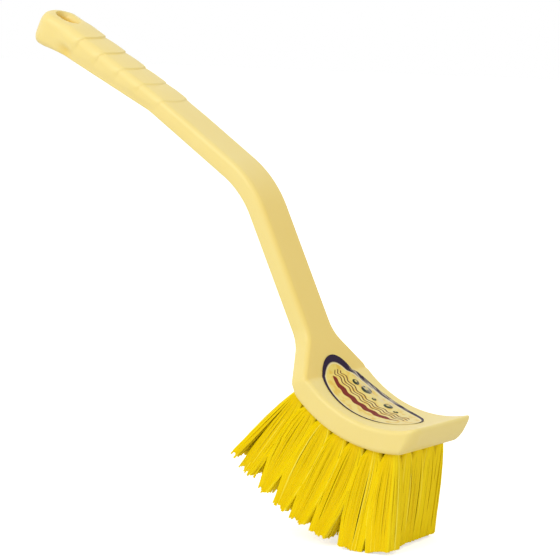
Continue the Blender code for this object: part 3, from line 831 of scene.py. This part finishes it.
def tuft_tile(row, locks):
    """Angles between which a tuft fills the field below its shoulders."""
    low = FIRST_TIP_ANGLE + TIP_ROW_ANGLE * (row - 0.5)
    high = FIRST_TIP_ANGLE + TIP_ROW_ANGLE * (row + 0.5)
    if row == 0:
        low = locks[0][0]
    if row == ROW_COUNT - 1:
        high = locks[-1][1]
    return low, high


def strand_path(stub, root, shoulder, knee, tip, bow):
    """Middle points of one filament: straight in its hole, fanning out, then to its tip."""
    points = [stub]
    for step in range(STRAND_RINGS):
        share = (step / (STRAND_RINGS - 1)) ** FAN_STEP_POWER
        rest = 1.0 - share
        point = (root * rest ** 3 + shoulder * 3 * share * rest ** 2
                 + knee * 3 * share ** 2 * rest + tip * share ** 3)
        points.append(point + bow * math.sin(math.pi * share) * share)
    return points


def add_strand(body, path, thickness):
    """A four-sided filament along a path, with flat cut ends and its tip flagged out."""
    across = sideways(1.0)
    rings = []
    for index, point in enumerate(path):
        share = max(0, index - 1) / (len(path) - 2)
        size = STRAND_ROOT_THICKNESS
        size += (STRAND_TIP_THICKNESS - STRAND_ROOT_THICKNESS) * share
        size *= thickness
        ahead = path[min(index + 1, len(path) - 1)] - path[max(index - 1, 0)]
        other = ahead.cross(across).normalized() * size / 2
        wide = across * size / 2
        rings.append([point + offset for offset in (wide, other, -wide, -other)])
    add_tube(body, rings)


def even_seats(count, widest):
    """Seats spread evenly over a round tuft, out to its widest reach."""
    seats = []
    for index in range(count):
        reach = widest * math.sqrt((index + 0.5) / count)
        turn = index * GOLDEN_TURN
        seats.append((reach * math.cos(turn), reach * math.sin(turn)))
    return seats


def closed_seats():
    """Seats of a tuft that shows: two closed rings, and the filling between them."""
    seats = []
    for count, reach in zip(RING_STRANDS, RING_REACHES):
        for index in range(count):
            side, run = divmod(4 * (index + 0.5) / count, 1.0)
            turn = math.radians(90.0) * side + math.atan(2.0 * run - 1.0)
            seats.append((reach * math.cos(turn), reach * math.sin(turn)))
    return seats + even_seats(FILLING_STRANDS, FILLING_REACH)


def squared(along_share, side_share):
    """Seat of a strand's tip: the round tuft fills the corners of its share of the field."""
    size = max(abs(along_share), abs(side_share), 1e-6)
    stretch = (math.hypot(along_share, side_share) / size) ** TIP_SQUARENESS
    return along_share * stretch, side_share * stretch


def make_tuft(row, column, material):
    """One tuft of filaments, packed round in its hole and spread at its tips."""
    chance = random.Random(TUFT_SEED + row * COLUMN_COUNT + column)
    angle, side, root_radius = tuft_place(row, column)
    locks = tuft_locks(row, column, chance)
    tile_low, tile_high = tuft_tile(row, locks)
    outward, ahead = -upward(angle), -along(angle)
    middle_side = side * (1.0 + SPLAY_OUT / (COLUMN_PITCH * (COLUMN_COUNT - 1) / 2))
    rag = row / (ROW_COUNT - 1)
    teeth = 2 * math.pi * chance.uniform(*TEETH_RANGE)
    first_tooth = chance.uniform(0.0, 2 * math.pi)
    hidden = 0 < row < ROW_COUNT - 1 and 0 < column < COLUMN_COUNT - 1
    body = bmesh.new()
    tones_and_highlights = []
    for along_share, side_share in even_seats(HIDDEN_STRANDS, 1.0) if hidden else closed_seats():
        # The tip: its lock, its side and its length
        tip_along, tip_across = squared(along_share, side_share)
        spot = (1.0 - tip_along) / 2
        even_angle = tile_low + (tile_high - tile_low) * spot
        low, high, spot = pick_lock(locks, spot)
        spread = chance.gauss(0.0, LOCK_SCATTER + LOCK_SCATTER * rag)
        tip_angle = low + (high - low) * (spot + spread)
        tip_side = SIDE_SPREAD * tip_across * (1.0 + chance.gauss(0.0, SIDE_SCATTER))
        tip_side = middle_side + tip_side
        if chance.random() < STRAY_SHARE:
            tip_angle += chance.gauss(0.0, STRAY_ANGLE)
            tip_side += chance.gauss(0.0, STRAY_SIDE)
        if row == 0:
            tip_angle = max(tip_angle, low - SHAKE_OUT)
        tip_side = max(-WIDEST_TIP, min(WIDEST_TIP, tip_side))
        length = tip_radius(tip_angle)
        length -= abs(chance.gauss(0.0, FRONT_RAGGEDNESS + REAR_RAGGEDNESS * rag))
        length -= rag * TOOTH_DEPTH * (0.5 + 0.5 * math.sin(teeth * spot + first_tooth))
        tip = -upward(tip_angle) * length + sideways(tip_side)
        # The way there: out of the hole, over a full shoulder and a knee
        root = (outward * (root_radius - FAN_START_DEPTH)
                + ahead * along_share * FILL_RADIUS
                + sideways(side + side_share * FILL_RADIUS))
        even = -upward(even_angle) * length + sideways(tip_side)
        outer_row = (row == 0 and along_share > 0.0
                     or row == ROW_COUNT - 1 and along_share < 0.0)
        outer_column = column in (0, COLUMN_COUNT - 1) and side_share * side > 0.0
        swell = (ahead * tip_along * (OUTER_SWELL if outer_row else LONG_SWELL)
                 + sideways(tip_across * (0.0 if outer_column else SIDE_SWELL)))
        swell *= chance.uniform(*SWELL_RANGE)
        shoulder = root.lerp(even, SHOULDER_SHARE) + swell * SHOULDER_SWELL
        knee = root.lerp(even, KNEE_SHARE) + swell
        bow = (ahead * chance.gauss(0.0, BOW_SCATTER)
               + sideways(chance.gauss(0.0, BOW_SCATTER)))
        path = strand_path(root - outward * STUB_LENGTH, root, shoulder, knee, tip, bow)
        # Cut flat where it would go through the floor
        lowest = -FLOOR_DEPTH + CUT_END_HEIGHT
        if path[-1].z < lowest:
            share = (lowest - path[-2].z) / (path[-1].z - path[-2].z)
            path[-1] = path[-2].lerp(path[-1], share)
        add_strand(body, path, chance.uniform(*THICKNESS_RANGE))
        # Painted highlight: lighter strands on the tuft's outside, where light falls, and a few
        # pale
        #         # strands as glints; the rest of the tone differs at random
        beside = max(abs(tip_along), 0.0 if outer_column else abs(tip_across))
        tone_and_highlight = TONE_SPREAD * chance.random()
        tone_and_highlight += (EDGE_HIGHLIGHT_TONE - TONE_SPREAD) * blend(beside, EDGE_HIGHLIGHT_FROM, 1.0)
        if chance.random() < HIGHLIGHT_STRAND_SHARE:
            tone_and_highlight = 1.0
        tones_and_highlights += [tone_and_highlight] * (4 * len(path))
    tuft = make_piece(f"bristles_r{row + 1}_c{column + 1}", body, material)
    store(tuft, "strand_tone_and_highlight", "FLOAT", tones_and_highlights)
    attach(tuft, "root")
    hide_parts(f"tuft_r{row + 1}_c{column + 1}")
    return tuft


# Label

def make_label(material):
    """Oval label that follows the hollow of the head, with its print's own measures."""
    centre_at = LABEL_FROM_FRONT + LABEL_LENGTH / 2
    shares = [math.sin(math.radians(90.0) * (count + 0.5) / (LABEL_RINGS + 0.5))
              for count in range(LABEL_RINGS + 1)]
    levels = [(share, LABEL_LIFT) for share in shares]
    levels += [(share, LABEL_LIFT + LABEL_THICKNESS) for share in reversed(shares)]
    rings, places = [], []
    for share, lift in levels:
        ring = []
        for index in range(LABEL_POINTS):
            angle = 2 * math.pi * index / LABEL_POINTS
            distance = centre_at + LABEL_LENGTH / 2 * share * math.cos(angle)
            side = LABEL_WIDTH / 2 * share * math.sin(angle)
            point, slope = mid_line(distance)
            ring.append(point + upward(slope) * (thickness(distance) / 2 + lift)
                        + sideways(side))
            places += [(centre_at - distance) * 1000, side * 1000, 0.0]
        rings.append(ring)
    label = make_piece("label_film", loft(rings), material)
    store(label, "print_place", "FLOAT_VECTOR", places)
    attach(label, "root")
    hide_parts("label")
    return label


# Materials

def from_hex(colour):
    """An sRGB hex colour as the linear colour that a shader takes."""
    parts = [int(colour[start:start + 2], 16) / 255 for start in (1, 3, 5)]
    linear = [part / 12.92 if part <= 0.04045 else ((part + 0.055) / 1.055) ** 2.4
              for part in parts]
    return (*linear, 1.0)


def add(tree, kind, settings, links=None):
    """Add one node to a tree, set its sockets and options, and link its inputs to sockets
    or to the first outputs of nodes."""
    node = tree.nodes.new(kind)
    for key, value in settings.items():
        if isinstance(key, int) or key in node.inputs:
            node.inputs[key].default_value = value
        else:
            setattr(node, key, value)
    for key, source in (links or {}).items():
        if isinstance(source, bpy.types.Node):
            source = source.outputs[0]
        tree.links.new(source, node.inputs[key])
    return node


def new_material(name, settings):
    """An empty Principled material with its own sockets set."""
    material = bpy.data.materials.new(name)
    material.use_nodes = True
    tree = material.node_tree
    tree.nodes.clear()
    shader = add(tree, "ShaderNodeBsdfPrincipled", settings)
    add(tree, "ShaderNodeOutputMaterial", {}, {"Surface": shader})
    return material, tree, shader


def moulded_polypropylene():
    """Injection-moulded polypropylene: soft satin gloss over a milky, warm body colour, with
    painted shade, a deeper yellow, on faces turned from the light, in hollows and in the slot."""
    material, tree, shader = new_material("moulded_polypropylene", {
        "Roughness": 0.40, "IOR": 1.49, "Subsurface Scale": 0.003,
        "Subsurface Radius": (1.0, 0.95, 0.4)})
    place = add(tree, "ShaderNodeTexCoord", {}).outputs["Object"]
    split = add(tree, "ShaderNodeSeparateXYZ", {}, {0: place})
    height = add(tree, "ShaderNodeMapRange", {"From Min": PALER_FROM, "From Max": PALER_TO},
                 {"Value": split.outputs["Z"]})
    body = add(tree, "ShaderNodeMix", {"data_type": "RGBA", 6: from_hex("#F0DE90"),
                                       7: from_hex("#F2DF94")},
               {0: height})
    # Flow of the melt: faint clouds, nearly as wide as the stem
    clouds = add(tree, "ShaderNodeTexNoise", {"Scale": 1 / CLOUD_SIZE, "Detail": 2.0},
                 {"Vector": place})
    cloud_share = add(tree, "ShaderNodeMapRange", {"From Min": 0.35, "From Max": 0.65,
                                                   "To Max": 0.10},
                      {"Value": clouds})
    flowed = add(tree, "ShaderNodeMix", {"data_type": "RGBA", 7: from_hex("#E8CF6C")},
                 {0: cloud_share, 6: body.outputs[2]})
    # Painted shade: a deeper, more saturated yellow laid where shade falls on the moulding
    hollow = add(tree, "ShaderNodeAttribute", {"attribute_name": "painted_shade"})
    deep_shaded = add(tree, "ShaderNodeMix", {"data_type": "RGBA", 7: from_hex("#EFC83C")},
               {0: hollow.outputs["Fac"], 6: flowed.outputs[2]})
    tree.links.new(deep_shaded.outputs[2], shader.inputs["Base Color"])
    # Milkier in the slot, where light comes through its walls
    milkiness = add(tree, "ShaderNodeMapRange", {"From Min": 0.5, "From Max": 0.7, "To Min": 0.12,
                                                 "To Max": 0.6}, {"Value": hollow.outputs["Fac"]})
    tree.links.new(milkiness.outputs[0], shader.inputs["Subsurface Weight"])
    # Mould polish: finer on the real one, and drawn coarser here so that it shows
    skin = add(tree, "ShaderNodeTexNoise", {"Scale": 1 / SKIN_GRAIN, "Detail": 3.0},
               {"Vector": place})
    bump = add(tree, "ShaderNodeBump", {"Strength": 0.06, "Distance": 0.0001},
               {"Height": skin})
    tree.links.new(bump.outputs[0], shader.inputs["Normal"])
    return material


def extruded_filament():
    """Extruded polypropylene filament: strong bright yellow with a soft gloss along its length,
    each a little lighter or deeper than its neighbours; painted highlight on outer and pale
    strands."""
    material, tree, shader = new_material("extruded_filament", {
        "Roughness": 0.38, "IOR": 1.49, "Specular IOR Level": 0.22})
    tone_and_highlight = add(tree, "ShaderNodeAttribute", {"attribute_name": "strand_tone_and_highlight"})
    ramp_node = add(tree, "ShaderNodeValToRGB", {}, {0: tone_and_highlight.outputs["Fac"]})
    # Tone stops: the higher ones are the painted highlight on tufts' outsides and on pale strands
    stops = ((0.0, "#F0D400"), (0.4, "#F6DC00"), (0.9, "#FBE600"), (1.0, "#FFF04E"))
    elements = ramp_node.color_ramp.elements
    while len(elements) < len(stops):
        elements.new(0.5)
    for element, (position, colour) in zip(elements, stops):
        element.position = position
        element.color = from_hex(colour)
    tree.links.new(ramp_node.outputs[0], shader.inputs["Base Color"])
    return material


def printed_film():
    """Printed paper under clear polypropylene film: gold field in a navy frame, with a
    faint gloss and small blisters that catch the light."""
    material, tree, shader = new_material("printed_film", {
        "Roughness": 0.45, "IOR": 1.5, "Specular IOR Level": 0.06, "Coat Weight": 0.05,
        "Coat Roughness": 0.10})
    place = add(tree, "ShaderNodeAttribute", {"attribute_name": "print_place"}).outputs["Vector"]
    split = add(tree, "ShaderNodeSeparateXYZ", {}, {0: place})

    def oval(middle, radii, soft=OVAL_SOFTNESS):
        """1 inside an oval, with an edge that is soft by a share of its size."""
        offset = add(tree, "ShaderNodeVectorMath", {"operation": "SUBTRACT", 1: (*middle, 0.0)},
                     {0: place})
        scaled = add(tree, "ShaderNodeVectorMath", {"operation": "DIVIDE", 1: (*radii, 1.0)},
                     {0: offset})
        size = add(tree, "ShaderNodeVectorMath", {"operation": "LENGTH"}, {0: scaled})
        return add(tree, "ShaderNodeMapRange", {"From Min": 1.0 + soft, "From Max": 1.0 - soft},
                   {"Value": size.outputs["Value"]})

    # Field: gold at the stem end, creamier to the front, with deeper patches
    forward = add(tree, "ShaderNodeMapRange", {"From Min": FADE_FROM, "From Max": FADE_TO},
                  {"Value": split.outputs["X"]})
    field = add(tree, "ShaderNodeMix", {"data_type": "RGBA", 6: from_hex("#F0DC7C"),
                                        7: from_hex("#EDE0A6")}, {0: forward})
    patches = add(tree, "ShaderNodeTexNoise", {"Scale": 1 / PATCH_SIZE, "Detail": 4.0},
                  {"Vector": place})
    patch_share = add(tree, "ShaderNodeMapRange", {"From Min": 0.47, "From Max": 0.62,
                                                   "To Max": 0.60}, {"Value": patches})
    gold = add(tree, "ShaderNodeMix", {"data_type": "RGBA", 7: from_hex("#E4B936")},
               {0: patch_share, 6: field.outputs[2]})
    # Navy frame, broad at the stem end and along the far side, with a cream line inside it
    border = add(tree, "ShaderNodeMix", {"data_type": "RGBA", 6: from_hex("#2A1B3A"),
                                         7: from_hex("#F1E4B0")},
                 {0: oval(FRAME_MIDDLE, FRAME_RADII)})
    framed = add(tree, "ShaderNodeMix", {"data_type": "RGBA"},
                 {0: oval(FRAME_MIDDLE, LINE_RADII), 6: border.outputs[2], 7: gold.outputs[2]})
    # Water: three brown waves along the middle, and a red-brown ribbon on the near side
    phase = add(tree, "ShaderNodeMath", {"operation": "MULTIPLY", 1: 2 * math.pi / WAVE_LENGTH},
                {0: split.outputs["X"]})
    wave = add(tree, "ShaderNodeMath", {"operation": "SINE"}, {0: phase})
    water = oval((0.0, 0.0), WATER_RADII)

    def stripe(side, height, half_width):
        """1 on a waved stripe in the water."""
        line = add(tree, "ShaderNodeMath", {"operation": "MULTIPLY_ADD", 1: -height, 2: -side},
                   {0: wave})
        off = add(tree, "ShaderNodeMath", {"operation": "ADD"}, {0: split.outputs["Y"], 1: line})
        clear = add(tree, "ShaderNodeMath", {"operation": "ABSOLUTE"}, {0: off})
        share = add(tree, "ShaderNodeMapRange", {"From Min": half_width + STRIPE_SOFTNESS,
                                                 "From Max": half_width - STRIPE_SOFTNESS},
                    {"Value": clear})
        return add(tree, "ShaderNodeMath", {"operation": "MULTIPLY"}, {0: share, 1: water})

    layers = [(stripe(side, WAVE_HEIGHT, WAVE_HALF_WIDTH), "#6B3A22") for side in WAVE_SIDES]
    layers.append((stripe(RIBBON_SIDE, RIBBON_HEIGHT, RIBBON_HALF_WIDTH), "#7E2413"))
    # Soap bubbles over the water, dark with a small highlight
    for middle, radius in BUBBLES:
        bright = (middle[0] - SHINE_SHIFT * radius, middle[1] + SHINE_SHIFT * radius)
        size = radius / SHINE_SHRINK
        layers.append((oval(middle, (radius, radius), BUBBLE_EDGE / radius), "#22331A"))
        layers.append((oval(bright, (size, size), SHINE_SOFTNESS), "#D8C672"))
    # Painted glints of the film along the far side, drawn as pale scuffs
    stretched = add(tree, "ShaderNodeVectorMath", {"operation": "DIVIDE", 1: (*GLINT_SCUFF_SIZE, 1.0)},
                    {0: place})
    streaks = add(tree, "ShaderNodeTexNoise", {"Scale": 1.0, "Detail": 3.0},
                  {"Vector": stretched})
    glint_and_wear = add(tree, "ShaderNodeMapRange", {"From Min": 0.42, "From Max": 0.66, "To Max": 0.85},
               {"Value": streaks})
    glints_and_scuffs = add(tree, "ShaderNodeMath", {"operation": "MULTIPLY"},
                 {0: glint_and_wear, 1: oval(GLINT_SCUFF_MIDDLE, GLINT_SCUFF_RADII, GLINT_SCUFF_SOFTNESS)})
    layers.append((glints_and_scuffs, "#DED6C6"))
    # The inks and the painted glints, each laid over the last
    colour = framed.outputs[2]
    for share, ink in layers:
        colour = add(tree, "ShaderNodeMix", {"data_type": "RGBA", 7: from_hex(ink)},
                     {0: share, 6: colour}).outputs[2]
    tree.links.new(colour, shader.inputs["Base Color"])
    # Blisters and creases in the film
    blister = add(tree, "ShaderNodeTexNoise", {"Scale": 1 / BLISTER_SIZE, "Detail": 2.0},
                  {"Vector": place})
    bump = add(tree, "ShaderNodeBump", {"Strength": 0.35, "Distance": 0.0003},
               {"Height": blister})
    tree.links.new(bump.outputs[0], shader.inputs["Coat Normal"])
    return material


def seen_share(tree, *others):
    """1 for the camera's rays and the other kinds of ray that see plain white."""
    rays = add(tree, "ShaderNodeLightPath", {})
    share = rays.outputs["Is Camera Ray"]
    for other in others:
        share = add(tree, "ShaderNodeMath", {"operation": "MAXIMUM"},
                    {0: share, 1: rays.outputs[other]})
    return share


def white_card():
    """Matt white card under the brush: pure white to the camera, and keeps the shadow."""
    material, tree, shader = new_material("white_card", {
        "Base Color": from_hex("#F0EEEA"), "Roughness": 0.9, "Specular IOR Level": 0.1,
        "Emission Color": (1.0, 1.0, 1.0, 1.0)})
    glow = add(tree, "ShaderNodeMath", {"operation": "MULTIPLY", 1: CARD_GLOW},
               {0: seen_share(tree, "Is Transmission Ray")})
    tree.links.new(glow.outputs[0], shader.inputs["Emission Strength"])
    return material


# Studio

FLOOR_SIZE = 6.0
FLOOR_PARTS = 4
CARD_GLOW = 0.65
CAMERA_TARGET = Vector((0.024245, 0.0, 0.109459))
CAMERA_AZIMUTH = math.radians(35.0)
CAMERA_ELEVATION = math.radians(7.2)
CAMERA_DISTANCE = 1.28504
CAMERA_LENS = 190.0
CAMERA_SENSOR = 36.0
FILL_STRENGTH = 0.82
KEY_POWER = 5.8
KEY_SIZE = 0.7
KEY_PLACE = Vector((-0.10, -1.10, 0.98))


def direction(azimuth, elevation):
    """Direction from the object to a viewer; azimuth 0 looks along +Y."""
    return Vector((math.sin(azimuth) * math.cos(elevation),
                   -math.cos(azimuth) * math.cos(elevation), math.sin(elevation)))


def aim(item, place, target):
    """Put a lamp or camera at a place, turned to its target."""
    item.location = place
    item.rotation_euler = (target - place).to_track_quat("-Z", "Y").to_euler()
    bpy.context.scene.collection.objects.link(item)


def make_floor():
    """Plain floor card under the brush."""
    body = bmesh.new()
    bmesh.ops.create_grid(body, x_segments=FLOOR_PARTS, y_segments=FLOOR_PARTS,
                          size=FLOOR_SIZE / 2)
    floor = mesh_object("floor_card", body, white_card())


def make_light():
    """White surround and one large soft lamp from near left above."""
    world = bpy.data.worlds.new("white_surround")
    world.use_nodes = True
    tree = world.node_tree
    tree.nodes.clear()
    seen = seen_share(tree, "Is Glossy Ray", "Is Transmission Ray")
    fill = add(tree, "ShaderNodeBackground", {"Color": from_hex("#FFFBF0"),
                                              "Strength": FILL_STRENGTH})
    white = add(tree, "ShaderNodeBackground", {"Color": (1.0, 1.0, 1.0, 1.0), "Strength": 1.0})
    mixed = add(tree, "ShaderNodeMixShader", {}, {0: seen, 1: fill, 2: white})
    add(tree, "ShaderNodeOutputWorld", {}, {"Surface": mixed})
    bpy.context.scene.world = world
    lamp = bpy.data.lights.new("key_softbox", "AREA")
    lamp.energy = KEY_POWER
    lamp.size = KEY_SIZE
    aim(bpy.data.objects.new("key_softbox", lamp), KEY_PLACE, CAMERA_TARGET)


def make_camera():
    """Camera at the photograph's angle."""
    camera = bpy.data.cameras.new("camera")
    camera.lens = CAMERA_LENS
    camera.sensor_width = CAMERA_SENSOR
    item = bpy.data.objects.new("camera", camera)
    place = CAMERA_TARGET + direction(CAMERA_AZIMUTH, CAMERA_ELEVATION) * CAMERA_DISTANCE
    aim(item, place, CAMERA_TARGET)
    bpy.context.scene.camera = item


def main():
    bpy.context.scene.view_settings.view_transform = "Standard"
    make_handle(moulded_polypropylene())
    filament = extruded_filament()
    for row in range(ROW_COUNT):
        for column in range(COLUMN_COUNT):
            make_tuft(row, column, filament)
    make_label(printed_film())
    make_floor()
    make_light()
    make_camera()


main()
